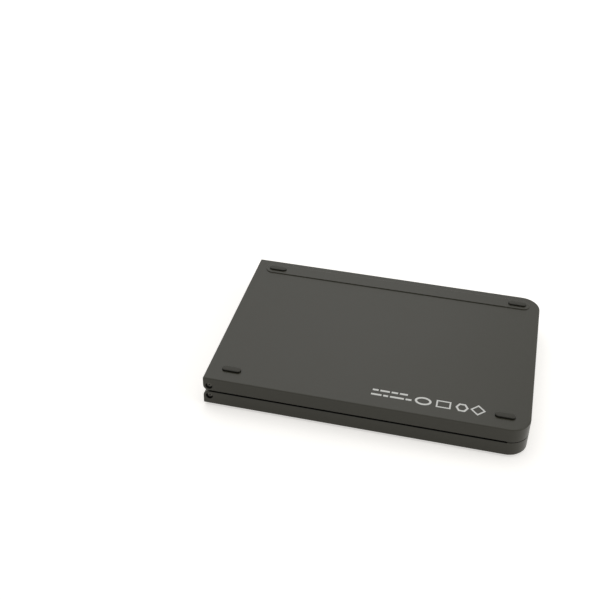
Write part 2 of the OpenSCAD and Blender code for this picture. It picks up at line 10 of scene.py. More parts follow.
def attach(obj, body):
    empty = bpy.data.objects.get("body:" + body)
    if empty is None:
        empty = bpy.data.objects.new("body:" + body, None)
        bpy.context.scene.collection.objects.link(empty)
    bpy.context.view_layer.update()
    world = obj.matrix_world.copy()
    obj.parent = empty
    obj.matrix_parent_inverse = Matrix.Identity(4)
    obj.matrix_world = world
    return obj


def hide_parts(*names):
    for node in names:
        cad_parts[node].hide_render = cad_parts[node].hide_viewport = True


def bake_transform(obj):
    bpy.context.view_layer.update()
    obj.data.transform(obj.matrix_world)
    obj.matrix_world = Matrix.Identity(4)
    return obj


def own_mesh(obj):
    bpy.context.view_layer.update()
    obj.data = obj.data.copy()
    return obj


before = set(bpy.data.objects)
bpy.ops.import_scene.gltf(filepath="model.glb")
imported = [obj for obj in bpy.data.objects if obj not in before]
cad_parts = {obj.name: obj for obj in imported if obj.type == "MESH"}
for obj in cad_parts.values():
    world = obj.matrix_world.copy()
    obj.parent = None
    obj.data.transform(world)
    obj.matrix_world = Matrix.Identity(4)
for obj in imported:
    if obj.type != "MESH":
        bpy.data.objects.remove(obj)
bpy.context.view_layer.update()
mm = 0.001

# ---- Camera ----
# It stands in front of the long front edge, a little towards the outer end, and looks down at the lid.
camera = bpy.data.objects.new("camera", bpy.data.cameras.new("camera"))
bpy.context.scene.collection.objects.link(camera)
bpy.context.scene.camera = camera
camera.data.sensor_width = 36
camera.data.lens = 59.03
camera.data.clip_start = 0.01
looking = Vector((-0.18145, 0.78908, -0.58689))
upwards = Vector((-0.14928, 0.56778, 0.80953))
camera.matrix_world = Matrix.Translation(Vector((45.14, -370.27, 305.58)) * mm) @ Matrix(
    [looking.cross(upwards), upwards, -looking]
).transposed().to_4x4()

# ---- Bottom cases ----
# Two shallow trays of dark ABS, moulded with ears for the hinge and a bar under the rear feet. Their
# outside is sprayed with a matt soft-touch coat; their rims, insides and recesses are left bare and
# painted near black, as painted shade in the gap between the halves and in the pin recesses.
half_length = 146
half_depth = 50
half_thickness = 7.25
stand = 1.2
fold_gap = 0.3
shut_height = 2 * (stand + half_thickness) + fold_gap
corner_radius = 9
knuckle_radius = 2.8
pin_level = half_thickness - knuckle_radius
bar_height = 0.45
bar_width = 7.2
bar_inset = 5
bar_middle = 42.7
bar_reach = (half_length - 2 * bar_inset - bar_width) / 2
case_edge_radius = 0.5
rim_relief = 0.25
off_face = 0.02
off_arc = 0.06


def on_half(side, u, y, w):
    """The place of a point of one half, drawn flat with its keys up and its hinge end at 0."""
    return Vector((u - half_length / 2, y, stand + w if side == "right" else shut_height - stand - w)) * mm


def in_half(side, point):
    """The same, backwards: a place as distances along, across and above the half, in mm."""
    x, y, z = point / mm
    return x + half_length / 2, y, z - stand if side == "right" else shut_height - stand - z


def off_outline(u, y):
    """How far a point lies from the outline of a half, seen from above."""
    middle = Vector((half_length - corner_radius, half_depth - corner_radius))
    across = Vector((u, abs(y))) - middle
    if across.x > 0 and across.y > 0:
        return abs(across.length - corner_radius)
    return min(abs(u), abs(abs(y) - half_depth), abs(u - half_length))


def off_bar(u, y):
    """How far a point lies from the outline of the bar under the rear feet."""
    along = max(abs(u - half_length / 2) - bar_reach, 0)
    return abs(math.hypot(along, y - bar_middle) - bar_width / 2)


def case_edge(ends):
    """The rounding of an edge of a case, as a share of the largest one."""
    middle = [(a + b) / 2 for a, b in zip(*ends)]
    points = [*ends, middle]
    outline = all(off_outline(u, y) < off_arc for u, y, w in points)
    if outline and all(abs(w) < off_face for u, y, w in points):
        return 1
    if outline and all(half_thickness - off_face < w for u, y, w in points):
        return 0.2
    if outline and all(half_thickness - rim_relief - off_face < w for u, y, w in points):
        return 0.4
    if all(abs(w + bar_height) < off_face and off_bar(u, y) < off_arc for u, y, w in points):
        return 0.5
    on_ends = all(abs(abs(y) - half_depth) < off_face for u, y, w in points)
    upright = all(abs(u) < off_face for u, y, w in points)
    knuckle = all(
        u < knuckle_radius + off_face and w > pin_level - off_face
        and abs(math.hypot(u - knuckle_radius, w - pin_level) - knuckle_radius) < off_arc
        for u, y, w in points
    )
    return 0.45 if on_ends and (upright or knuckle) else 0


def bare_in_painted_shade(u, y, w):
    """Whether the coat leaves a face of a case bare, to be painted near black as shade, by the face's middle.
    """
    outside = w < off_face or off_outline(u, y) < off_face
    off_knuckle = abs(math.hypot(u - knuckle_radius, w - pin_level) - knuckle_radius)
    return not outside and not (off_knuckle < 0.05 and u < knuckle_radius and w > pin_level)


def eased_copy(node, side, edge_share, radius, steps=4, second_finish=lambda u, y, w: False):
    """A solid's mesh with its flat faces whole again and its chosen edges rounded."""
    shape = bmesh.new()
    shape.from_mesh(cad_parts[node].data)
    bmesh.ops.remove_doubles(shape, verts=shape.verts, dist=1e-6)
    bmesh.ops.dissolve_limit(shape, angle_limit=math.radians(0.5), verts=shape.verts, edges=shape.edges)
    share = shape.edges.layers.float.new("bevel_weight_edge")
    for edge in shape.edges:
        if edge.is_manifold and edge.calc_face_angle() > math.radians(25):
            edge[share] = edge_share([in_half(side, v.co) for v in edge.verts])
    for face in shape.faces:
        face.smooth = True
        face.material_index = int(second_finish(*in_half(side, face.calc_center_median())))
    mesh = bpy.data.meshes.new(node + "_eased")
    shape.to_mesh(mesh)
    shape.free()
    mesh.set_sharp_from_angle(angle=math.radians(35))
    piece = bpy.data.objects.new(node + "_eased", mesh)
    bpy.context.scene.collection.objects.link(piece)
    rounding = piece.modifiers.new("rounding", "BEVEL")
    rounding.limit_method = "WEIGHT"
    rounding.width = radius * mm
    rounding.segments = steps
    rounding.use_clamp_overlap = False
    rounding.harden_normals = False
    normals = piece.modifiers.new("normals", "WEIGHTED_NORMAL")
    normals.keep_sharp = True
    return piece


class Tone:
    """One output of a material's nodes. Sums and products of tones add Math nodes."""

    def __init__(self, tree, socket=None):
        self.tree = tree
        self.socket = socket

    def node(self, kind, settings, sockets, output=0):
        """Adds a node, sets its settings, then its sockets, and returns one of its outputs."""
        made = self.tree.nodes.new("ShaderNode" + kind)
        for name, value in settings.items():
            if name == "stops":
                for stop, (place, colour) in zip(made.color_ramp.elements, value):
                    stop.position = place
                    stop.color = colour
            else:
                setattr(made, name, value)
        for name, value in sockets.items():
            if isinstance(value, Tone):
                self.tree.links.new(value.socket, made.inputs[name])
            else:
                made.inputs[name].default_value = value
        return Tone(self.tree, made.outputs[output])

    def maths(self, operation, *values):
        return self.node("Math", {"operation": operation}, dict(enumerate(values)))

    def __add__(self, other):
        return self.maths("ADD", self, other)

    def __sub__(self, other):
        return self.maths("SUBTRACT", self, other)

    def __rsub__(self, other):
        return self.maths("SUBTRACT", other, self)

    def __mul__(self, other):
        return self.maths("MULTIPLY", self, other)

    __radd__ = __add__
    __rmul__ = __mul__

    def clipped(self):
        """The same, held between 0 and 1."""
        return self.node("Math", {"operation": "ADD", "use_clamp": True}, {0: self, 1: 0.0})

    def between(self, first, second):
        """A colour that goes from the first to the second as this tone goes from 0 to 1."""
        colours = [c if isinstance(c, Tone) else (*c, 1) for c in (first, second)]
        return self.node("Mix", {"data_type": "RGBA"}, {0: self, 6: colours[0], 7: colours[1]}, 2)


def finish(name):
    """A new material, and what its nodes start from: its shader and a place on the piece in metres."""
    material = bpy.data.materials.new(name)
    material.use_nodes = True
    tree = material.node_tree
    shader = next(n for n in tree.nodes if n.type == "BSDF_PRINCIPLED")
    place = Tone(tree).node("TexCoord", {}, {}, "Object")
    return material, shader, place


def noise(place, size, detail=2.0):
    """Cloudy noise from 0 to 1 whose patches are about that many mm across."""
    return place.node("TexNoise", {}, {"Vector": place, "Scale": 1 / (size * mm), "Detail": detail})


def near_edge(place, radius):
    """1 close to an edge of the piece and 0 away from it."""
    round_normal = place.node("Bevel", {"samples": 6}, {"Radius": radius * mm})
    flat_normal = place.node("NewGeometry", {}, {}, "Normal")
    likeness = place.node(
        "VectorMath", {"operation": "DOT_PRODUCT"}, {0: round_normal, 1: flat_normal}, "Value",
    )
    steepness = 6
    return ((1 - likeness) * steepness).clipped()


def raise_by(shader, height, depth, strength=1.0):
    """Gives the shader a bump of that height pattern, up to depth mm deep."""
    bump = height.node("Bump", {}, {"Height": height, "Distance": depth * mm, "Strength": strength}, "Normal")
    height.tree.links.new(bump.socket, shader.inputs["Normal"])


def feed(shader, **tones):
    """Links tones to the shader's sockets, or sets plain values on them."""
    for name, tone in tones.items():
        socket = shader.inputs[name.replace("_", " ").title().replace("Ior", "IOR")]
        if isinstance(tone, Tone):
            tone.tree.links.new(tone.socket, socket)
        else:
            socket.default_value = tone


soft_touch, shader, place = finish("soft_touch_coat")
handled = noise(place, 30, 3)
grain = noise(place, 0.16, 3)
edge = near_edge(place, 0.35)
coat = handled.between((0.0304, 0.0288, 0.0190), (0.0344, 0.0326, 0.0219))
feed(
    shader,
    # The edges are painted lighter: partly worn coat, partly a painted highlight where the edges catch the
    # light.
    base_color=(edge * 0.2).between(coat, (0.06, 0.057, 0.046)),
    roughness=(0.26 + 0.1 * handled + 0.05 * grain - 0.04 * edge).clipped(),
    specular_ior_level=0.32,
)
raise_by(shader, grain, 0.012, 0.5)

# The bare rims, insides and recesses are painted near black: painted shade for the gap between the halves and
# the pin recesses.
bare_plastic_as_painted_shade, shader, place = finish("bare_case_plastic_as_painted_shade")
moulded = noise(place, 6)
feed(
    shader,
    base_color=moulded.between((0.0035, 0.0035, 0.003), (0.0055, 0.0055, 0.0048)),
    roughness=0.55 + 0.1 * moulded,
    specular_ior_level=0.12,
)
raise_by(shader, noise(place, 0.3, 3), 0.01, 0.4)

for side in ("right", "left"):
    case = eased_copy(side + "_bottom_case", side, case_edge, case_edge_radius, second_finish=bare_in_painted_shade)
    case.data.materials.append(soft_touch)
    case.data.materials.append(bare_plastic_as_painted_shade)
    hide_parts(side + "_bottom_case")
    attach(case, side + "_half")

# ---- Plates and membranes ----
# In each tray lies a rolled steel sheet that stiffens it, and on that the contact membrane: three
# polyester films with printed silver tracks.
steel, shader, place = finish("rolled_steel")
rolled = place.node("Mapping", {}, {"Vector": place, "Scale": (40, 1800, 1800)})
streaks = rolled.node("TexNoise", {}, {"Vector": rolled, "Scale": 1.0, "Detail": 4.0})
feed(
    shader,
    base_color=streaks.between((0.42, 0.43, 0.44), (0.55, 0.56, 0.57)),
    metallic=1.0,
    roughness=0.3 + 0.15 * streaks,
)
raise_by(shader, streaks, 0.004)

film, shader, place = finish("printed_film")
tracks = place.node(
    "TexWave", {"wave_type": "BANDS", "bands_direction": "Y"},
    {"Vector": place, "Scale": 110.0, "Distortion": 3.0, "Detail": 1.0, "Detail Scale": 0.4},
)
silver = place.node("ValToRGB", {"stops": [(0.82, (0, 0, 0, 1)), (0.9, (1, 1, 1, 1))]}, {"Fac": tracks})
feed(
    shader,
    base_color=silver.between((0.62, 0.61, 0.55), (0.4, 0.4, 0.39)),
    roughness=0.35 + 0.1 * noise(place, 12),
)
raise_by(shader, silver, 0.01)

for side in ("right", "left"):
    for node, material in (("_support_plate", steel), ("_membrane", film)):
        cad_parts[side + node].data.materials.clear()
        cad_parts[side + node].data.materials.append(material)

# ---- Electronics ----
# A battery pouch and the main board lie under the left plate. The charging socket stands in a
# window of the rear wall, and a frosted lens carries the indicator's light through the deck.
pouch, shader, place = finish("battery_pouch_foil")
creases = noise(place, 4, 4)
feed(
    shader,
    base_color=noise(place, 25).between((0.55, 0.56, 0.58), (0.66, 0.67, 0.69)),
    metallic=0.8,
    roughness=0.38 + 0.12 * creases,
)
raise_by(shader, creases, 0.15, 0.5)

mask, shader, place = finish("solder_mask")
copper = place.node(
    "TexWave", {"wave_type": "BANDS", "bands_direction": "X"},
    {"Vector": place, "Scale": 260.0, "Distortion": 6.0, "Detail": 2.0, "Detail Scale": 0.6},
)
traces = place.node("ValToRGB", {"stops": [(0.7, (0, 0, 0, 1)), (0.8, (1, 1, 1, 1))]}, {"Fac": copper})
feed(
    shader,
    base_color=traces.between((0.012, 0.075, 0.034), (0.03, 0.16, 0.07)),
    roughness=0.25 + 0.1 * noise(place, 3),
)
raise_by(shader, copper, 0.03, 0.5)

stamped, shader, place = finish("stamped_steel")
scratches = noise(place, 0.4, 4)
feed(
    shader,
    base_color=scratches.between((0.5, 0.51, 0.52), (0.63, 0.64, 0.65)),
    metallic=1.0,
    roughness=0.28 + 0.18 * scratches,
)
raise_by(shader, scratches, 0.006)

frosted, shader, place = finish("frosted_acrylic")
frost = noise(place, 0.1)
feed(
    shader,
    base_color=noise(place, 1).between((0.74, 0.76, 0.78), (0.82, 0.84, 0.86)),
    roughness=0.3 + 0.2 * frost,
    transmission_weight=0.25,
    ior=1.49,
)
raise_by(shader, frost, 0.006)

for node, material in (
    ("main_circuit_board", mask), ("charging_socket", stamped), ("indicator_lens", frosted),
):
    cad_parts[node].data.materials.clear()
    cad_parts[node].data.materials.append(material)
battery = eased_copy("battery_pouch", "left", lambda ends: 1, 0.6)
battery.data.materials.append(pouch)
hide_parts("battery_pouch")
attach(battery, "left_half")

# ---- Keys ----
# Each cap is a thin ABS shell with a slight dish, printed with its legend. It stands on a silicone
# dome and is kept level by two acetal links that fold flat when it is pressed.
key_pitch = 18
row_pitch = 18
key_gap = 2.4
keys_start = 7.05
rear_key_line = 45
cap_depth = row_pitch - key_gap
cap_bottom = 4.75
cap_top = 6.75
cap_wall = 0.8
cap_corner = 1
cap_draft = 0.16
cap_roll = 0.34
top_sink = 0.02
top_inset = cap_draft + cap_roll
dish_depth = 0.14
letter_size = 5
word_size = 3.3
ink_rise = 0.015
membrane_top = 3.4
dome_profile = [(2.2, 0), (3, 0), (3, 0.3), (2.65, 0.35), (1.7, 2.35), (1.45, 2.5)]
circle = [(math.cos(math.radians(a)), math.sin(math.radians(a))) for a in range(0, 360, 15)]
link_width = 11.4
link_clearance = 2.2
link_depth = 9.8
link_bar = 0.9
link_half_height = 0.3
link_tilt = 0.17
narrow = 2.5 / 3
left_rows = [
    [("left_number_keys", 1, c) for c in "654321"] + [("left_number_keys", 1.5, "esc")],
    [("key_t", 1.75, "T"), *(("key_" + c.lower(), 1, c) for c in "REWQ"), ("left_edge_keys", 1.75, "tab")],
    [("key_g", 1.5, "G"), *(("key_" + c.lower(), 1, c) for c in "FDSA"), ("left_edge_keys", 2, "caps")],
    [*(("key_" + c.lower(), 1, c) for c in "BVCXZ"), ("left_edge_keys", 2.5, "shift")],
    [
        ("left_space_bar", 3, ""), ("left_edge_keys", 1.25, "alt"), ("left_edge_keys", 1, "sym"),
        ("left_edge_keys", 1, "fn"), ("left_edge_keys", 1.25, "ctrl"),
    ],
]
right_rows = [
    [("right_number_keys", 1, c) for c in "7890-="] + [("right_number_keys", 1.5, "back")],
    [*(("key_" + c.lower(), 1, c) for c in "YUIOP"), *(("right_edge_keys", narrow, c) for c in "[]\\")],
    [
        *(("key_" + c.lower(), 1, c) for c in "HJKL"), ("right_edge_keys", 0.85, ";"),
        ("right_edge_keys", 0.85, "'"), ("right_edge_keys", 1.8, "enter"),
    ],
    [
        ("key_n", 1, "N"), ("key_m", 1, "M"), *(("right_edge_keys", 1, c) for c in (",", ".", "/", "up")),
        ("right_edge_keys", 1.5, "shift"),
    ],
    [
        ("right_space_bar", 2.5, ""),
        *(("right_edge_keys", 1, c) for c in ("alt", "ctrl", "left", "down", "right")),
    ],
]


def keys_of(rows):
    """Every key's node, middle, width and legend."""
    for r, row in enumerate(rows):
        start = keys_start
        for node, units, legend in row:
            yield node, start + units * key_pitch / 2, rear_key_line - (r + 0.5) * row_pitch, \
                units * key_pitch - key_gap, legend
            start += units * key_pitch


def round_ring(width, depth, corner, steps=5):
    """Points of a rectangle with round corners, anticlockwise, round its middle."""
    points = []
    for quarter, (sx, sy) in enumerate(((1, 1), (-1, 1), (-1, -1), (1, -1))):
        for i in range(steps + 1):
            turn = math.radians(90 * (quarter + i / steps))
            points.append((
                sx * (width / 2 - corner) + corner * math.cos(turn),
                sy * (depth / 2 - corner) + corner * math.sin(turn),
            ))
    return points


def loft(shape, side, rings, close_start=False, close_end=False):
    """Skins rings of points, given as (u, y, w), and closes the ends where asked."""
    made = [[shape.verts.new(on_half(side, *p)) for p in ring] for ring in rings]
    faces = []
    for low, high in zip(made, made[1:]):
        for i in range(len(low)):
            j = (i + 1) % len(low)
            faces.append(shape.faces.new((low[i], low[j], high[j], high[i])))
    if close_start:
        faces.append(shape.faces.new(made[0][::-1]))
    if close_end:
        faces.append(shape.faces.new(made[-1]))
    if side == "left":
        bmesh.ops.reverse_faces(shape, faces=faces)
    return faces


def dish(width, x, y):
    """How far the top of a cap is sunk at a point, which is less on a long cap."""
    share = min(1, max(abs(2 * x / width), abs(2 * y / cap_depth)))
    longest_full = 1.4 * cap_depth
    return dish_depth * (1 - share ** 2) * min(1, longest_full / width)


def cap(shape, side, u, y, width):
    """A keycap: a skirt with a slight draft, a rolled top edge, a dished top and an open underside."""
    rolled_edge = [
        (top_inset - cap_roll * math.cos(turn), cap_top - top_sink - cap_roll * (1 - math.sin(turn)))
        for turn in map(math.radians, (0, 22.5, 45, 67.5, 90))
    ]
    inner_wall = [(cap_wall, cap_top - cap_wall), (cap_wall, cap_bottom)]
    outer_wall = [(0, cap_bottom), (0, cap_bottom + 0.2), *rolled_edge]
    rings = []
    for inset, w in inner_wall + outer_wall:
        ring = round_ring(width - 2 * inset, cap_depth - 2 * inset, max(cap_corner - inset, 0.3))
        rings.append([(u + a, y + b, w) for a, b in ring])
    loft(shape, side, rings, close_start=True)
    top_width = width - 2 * top_inset
    top = round_ring(top_width, cap_depth - 2 * top_inset, cap_corner - top_inset)
    rings = []
    for share in (1, 0.85, 0.65, 0.4, 0.15):
        ring = [(a * share, b * share) for a, b in top]
        rings.append([(u + a, y + b, cap_top - top_sink - dish(top_width, a, b)) for a, b in ring])
    loft(shape, side, rings, close_end=True)


def lettering(text, size):
    """A flat mesh of a legend, in mm round its middle, as points and faces."""
    if text in ("up", "down", "left", "right"):
        turn = {"up": 0, "left": 90, "down": 180, "right": 270}[text]
        spin = Matrix.Rotation(math.radians(turn), 2)
        return [spin @ Vector(p) for p in ((-1.2, -0.9), (1.2, -0.9), (0, 1.2))], [(0, 1, 2)]
    curve = bpy.data.curves.new("legend", "FONT")
    curve.body = text
    curve.size = size
    curve.resolution_u = 3
    curve.align_x = curve.align_y = "CENTER"
    written = bpy.data.objects.new("legend", curve)
    bpy.context.scene.collection.objects.link(written)
    bpy.context.view_layer.update()
    mesh = bpy.data.meshes.new_from_object(written.evaluated_get(bpy.context.evaluated_depsgraph_get()))
    points = [Vector(v.co[:2]) for v in mesh.vertices]
    faces = [tuple(p.vertices) for p in mesh.polygons]
    bpy.data.objects.remove(written)
    bpy.data.meshes.remove(mesh)
    bpy.data.curves.remove(curve)
    return points, faces


def legend(shape, side, u, y, width, text):
    """Prints a legend a hair above the dish of a cap."""
    points, faces = lettering(text, letter_size if len(text) == 1 else word_size)
    across = 1 if side == "right" else -1
    verts = []
    for p in points:
        level = cap_top - top_sink - dish(width - 2 * top_inset, p.x, p.y) + ink_rise
        verts.append(shape.verts.new(on_half(side, u + across * p.x, y + p.y, level)))
    for face in faces:
        printed = shape.faces.new([verts[i] for i in face])
        printed.material_index = 1


def piece_from(shape, name, *materials, sharp=35):
    """A new object from a bmesh, smooth but for its sharp edges."""
    mesh = bpy.data.meshes.new(name)
    for face in shape.faces:
        face.smooth = True
    shape.to_mesh(mesh)
    shape.free()
    mesh.set_sharp_from_angle(angle=math.radians(sharp))
    for material in materials:
        mesh.materials.append(material)
    piece = bpy.data.objects.new(name, mesh)
    bpy.context.scene.collection.objects.link(piece)
    return piece


cap_plastic, shader, place = finish("keycap_plastic")
spark = noise(place, 0.12, 3)
touched = noise(place, 7)
feed(
    shader,
    base_color=touched.between((0.017, 0.017, 0.0165), (0.022, 0.022, 0.0212)),
    roughness=(0.42 + 0.12 * touched + 0.06 * spark).clipped(),
)
raise_by(shader, spark, 0.01, 0.5)

ink, shader, place = finish("legend_ink")
speckle = noise(place, 0.15)
feed(
    shader,
    base_color=noise(place, 0.3).between((0.62, 0.62, 0.6), (0.72, 0.72, 0.7)),
    roughness=0.55 + 0.1 * speckle,
)
raise_by(shader, speckle, 0.004)

silicone, shader, place = finish("silicone_rubber")
bloom = noise(place, 1.5)
feed(
    shader,
    base_color=bloom.between((0.55, 0.54, 0.5), (0.66, 0.65, 0.61)),
    roughness=0.5 + 0.15 * bloom,
    subsurface_weight=0.2,
)
raise_by(shader, bloom, 0.02, 0.4)

acetal, shader, place = finish("natural_acetal")
flow = noise(place, 2, 3)
feed(
    shader,
    base_color=flow.between((0.68, 0.66, 0.6), (0.78, 0.76, 0.7)),
    roughness=0.35 + 0.1 * flow,
)
raise_by(shader, flow, 0.01, 0.4)

for side, rows in (("left", left_rows), ("right", right_rows)):
    keys = list(keys_of(rows))
    for node in dict.fromkeys(key[0] for key in keys):
        joint = (node if node.startswith("key_") else "key_" + node) + "_press"
        caps, domes, links = bmesh.new(), bmesh.new(), bmesh.new()
        for _, u, y, width, text in [key for key in keys if key[0] == node]:
            cap(caps, side, u, y, width)
            if text:
                legend(caps, side, u, y, width, text)
            rings = [[(u + r * c, y + r * s, membrane_top + h) for c, s in circle] for r, h in dome_profile]
            loft(domes, side, rings, close_start=True, close_end=True)
            outer_width = min(link_width, width - link_clearance)
            for outer, tilt in ((outer_width, link_tilt), (outer_width - link_clearance, -link_tilt)):
                rings = []
                for inset, side_of_middle in ((0, -1), (0, 1), (link_bar, 1), (link_bar, -1)):
                    level = (cap_top - cap_wall + membrane_top) / 2 + side_of_middle * link_half_height
                    ring = round_ring(outer - 2 * inset, link_depth - 2 * inset, 0.5, 3)
                    rings.append([(u + a, y + b, level + tilt * b) for a, b in ring])
                loft(links, side, [*rings, rings[0]])
        key = piece_from(caps, node + "_caps", cap_plastic, ink)
        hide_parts(node)
        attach(key, node)
        seat = on_half(side, 0, 0, membrane_top)
        for shape, name, material, replaced, slot in (
            (domes, "_domes", silicone, "_rubber_domes", "dome_rubber"),
            (links, "_links", acetal, "_scissor_links", "scissor_plastic"),
        ):
            support = piece_from(shape, node + name, material)
            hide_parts(side + replaced)
            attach(support, side + "_half")
            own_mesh(support)
            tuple(seat)

# ---- Key frames ----
# The deck round the keys is one ABS moulding with a skirt. It is pressed down on the membrane and
# staked to the steel plate, and the edges of its openings are eased.
deck_top = 5.4
deck_edge_radius = 0.18
lens_inset = 48
lens_line = 46.05


def frame_edge(ends):
    """The rounding of an edge of a frame: the edges of its upper face have one, but for the lens's bore."""
    upper = all(abs(w - deck_top) < off_face for u, y, w in ends)
    bore = all(math.hypot(u - lens_inset, y - lens_line) < 1 for u, y, w in ends)
    return 1 if upper and not bore else 0


deck_plastic, shader, place = finish("deck_plastic")
spark = noise(place, 0.14, 3)
touched = noise(place, 18)
feed(
    shader,
    base_color=touched.between((0.03, 0.0297, 0.0275), (0.035, 0.0345, 0.032)),
    roughness=(0.48 + 0.1 * touched + 0.05 * spark).clipped(),
)
raise_by(shader, spark, 0.01, 0.5)

for side in ("right", "left"):
    deck = eased_copy(side + "_key_frame", side, frame_edge, deck_edge_radius, 3)
    deck.data.materials.append(deck_plastic)
    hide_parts(side + "_key_frame")
    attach(deck, side + "_half")

# ---- Magnets and case screws ----
# Two nickel-plated bar magnets beside the outer skirt hold each half shut. Zinc-plated screws go
# through the case into the plate, and the feet are glued over their heads.
nickel, shader, place = finish("nickel_plating")
haze = noise(place, 2, 3)
feed(
    shader,
    base_color=haze.between((0.56, 0.55, 0.53), (0.66, 0.65, 0.63)),
    metallic=1.0,
    roughness=0.16 + 0.14 * haze,
)
raise_by(shader, haze, 0.01)

for side in ("right", "left"):
    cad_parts[side + "_case_screws"].data.materials.clear()
    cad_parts[side + "_case_screws"].data.materials.append(stamped)
    magnets = eased_copy(side + "_magnets", side, lambda ends: 1, 0.2, 2)
    magnets.data.materials.append(nickel)
    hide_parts(side + "_magnets")
    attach(magnets, side + "_half")

# ---- Feet ----
# Eight pills of dark silicone rubber, glued into shallow pockets of the cases. Their outer edges
# are moulded round; their faces turned up or down are painted lighter, as painted light from above, and their
# sides near black, as painted shade.
foot_inset = 11.2
front_line = -41.7
foot_places = [(u, y) for u in (foot_inset, half_length - foot_inset) for y in (front_line, bar_middle)]
foot_length = 8.9
foot_width = 3.1
foot_roll = 0.35
front_foot = (0.3, -0.9)
rear_foot = (-0.15, -1.2)

rubber, shader, place = finish("foot_rubber")
facing = place.node("TexCoord", {}, {}, "Normal")
level = facing.node("SeparateXYZ", {}, {"Vector": facing}, "Z")
# Faces turned up or down are painted lighter in patches, as painted light; the sides stay near black, as
# painted shade.
painted_top_light = (level.maths("ABSOLUTE", level) * (0.7 + 0.5 * noise(place, 1.2, 4))).clipped()
feed(
    shader,
    base_color=painted_top_light.between((0.0045, 0.0045, 0.003), (0.029, 0.0275, 0.0195)),
    roughness=0.3 + 0.2 * painted_top_light,
    specular_ior_level=0.25,
)
raise_by(shader, noise(place, 0.1, 2), 0.01, 0.5)


def pill_ring(length, width, steps=12):
    """Points of an outline with half-circle ends, anticlockwise, round its middle."""
    reach = (length - width) / 2
    turns = [math.radians(180 * i / steps) for i in range(steps + 1)]
    right_end = [(reach + width / 2 * math.sin(t), -width / 2 * math.cos(t)) for t in turns]
    return right_end + [(-a, -b) for a, b in right_end]


for side in ("right", "left"):
    feet = bmesh.new()
    for u, y in foot_places:
        seat, sole = front_foot if y < 0 else rear_foot
        rings = []
        for turn in map(math.radians, (0, 22.5, 45, 67.5, 90)):
            inset = foot_roll * (1 - math.sin(turn))
            ring = pill_ring(foot_length - 2 * inset, foot_width - 2 * inset)
            rings.append([(u + a, y + b, sole + foot_roll * (1 - math.cos(turn))) for a, b in ring])
        rings.append([(u + a, y + b, seat) for a, b in pill_ring(foot_length, foot_width)])
        loft(feet, side, rings, close_start=True, close_end=True)
    pads = piece_from(feet, side + "_feet_rounded", rubber)
    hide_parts(side + "_feet")
    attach(pads, side + "_half")

# ---- Hinge ----
# Blackened steel links at both ends of a nylon spine turn on steel pins, which are pressed in from
# the front and rear faces. A flat polyimide cable crosses through the spine's middle.
pin_steel, shader, place = finish("steel_of_the_pins")
rub = noise(place, 0.5, 3)
edge = near_edge(place, 0.1)
blackened = rub.between((0.07, 0.068, 0.06), (0.11, 0.107, 0.096))
feed(
    shader,
    base_color=(edge * 0.4).between(blackened, (0.28, 0.28, 0.26)),
    metallic=1.0,
    roughness=0.32 + 0.15 * rub,
)
raise_by(shader, rub, 0.006)

# The pins' centre dimples are painted near black, as painted shade inside them.
dimple_painted_shade, shader, place = finish("painted_shade_of_the_dimples")
dimple_mottle = noise(place, 0.2)
feed(
    shader,
    base_color=dimple_mottle.between((0.006, 0.006, 0.005), (0.012, 0.012, 0.01)),
    roughness=0.55 + 0.1 * dimple_mottle,
    specular_ior_level=0.15,
)
raise_by(shader, dimple_mottle, 0.01)

link_steel, shader, place = finish("blackened_link_steel")
turned = place.node("Mapping", {}, {"Vector": place, "Scale": (900, 8000, 900)})
lines = turned.node("TexNoise", {}, {"Vector": turned, "Scale": 1.0, "Detail": 3.0})
edge = near_edge(place, 0.12)
blackened = lines.between((0.05, 0.048, 0.043), (0.085, 0.083, 0.076))
feed(
    shader,
    base_color=(edge * 0.5).between(blackened, (0.3, 0.3, 0.29)),
    metallic=1.0,
    roughness=0.34 + 0.14 * lines,
)
raise_by(shader, lines, 0.004)

nylon, shader, place = finish("spine_nylon")
skin = noise(place, 0.3, 3)
feed(
    shader,
    base_color=noise(place, 10).between((0.028, 0.028, 0.027), (0.036, 0.036, 0.034)),
    roughness=0.45 + 0.1 * skin,
)
raise_by(shader, skin, 0.012, 0.5)

pin_levels = (pin_level, 2 * half_thickness + fold_gap - pin_level)
window_reach = 10


def bar_end(ends):
    """The rounding of an edge of a link or the spine: the outer edges of its end faces have one."""
    flat_end = abs(ends[0][1] - ends[1][1]) < 0.01 and abs(ends[0][1]) > window_reach
    bore = all(min(math.hypot(u - knuckle_radius, w - level) for level in pin_levels) < 1 for u, y, w in ends)
    return 1 if flat_end and not bore else 0


for node, material, slot in (
    ("front_hinge_link", link_steel, "link_steel"), ("rear_hinge_link", link_steel, "link_steel"),
    ("hinge_spine", nylon, "spine_plastic"),
):
    bar = eased_copy(node, "right", bar_end, 0.15, 2)
    bar.data.materials.append(material)
    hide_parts(node)
    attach(bar, "hinge_link")

pin_sides = 36
pin_profile = [
    (0.1, 48.5), (0.4, 48.55), (0.4, 49.06), (0.44, 49.1), (1.08, 49.1), (1.15, 49.03),
    (1.15, 48.8), (0.7, 48.8), (0.7, 40.7), (0.6, 40.6),
]
for side in ("right", "left"):
    pins = bmesh.new()
    turns = [2 * math.pi * i / pin_sides for i in range(pin_sides)]
    for end in (-1, 1):
        rings = [
            [(knuckle_radius + r * math.cos(t), end * y, pin_level + r * math.sin(t)) for t in turns]
            for r, y in pin_profile
        ]
        faces = loft(pins, side, rings, close_start=True, close_end=True)
        # The dimple faces take the painted shade.
        for face in [*faces[:2 * pin_sides], faces[-2]]:
            face.material_index = 1
    bmesh.ops.recalc_face_normals(pins, faces=pins.faces)
    pressed_pins = piece_from(pins, side + "_pins_turned", pin_steel, dimple_painted_shade)
    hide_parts(side + "_hinge_pins")
    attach(pressed_pins, side + "_half")

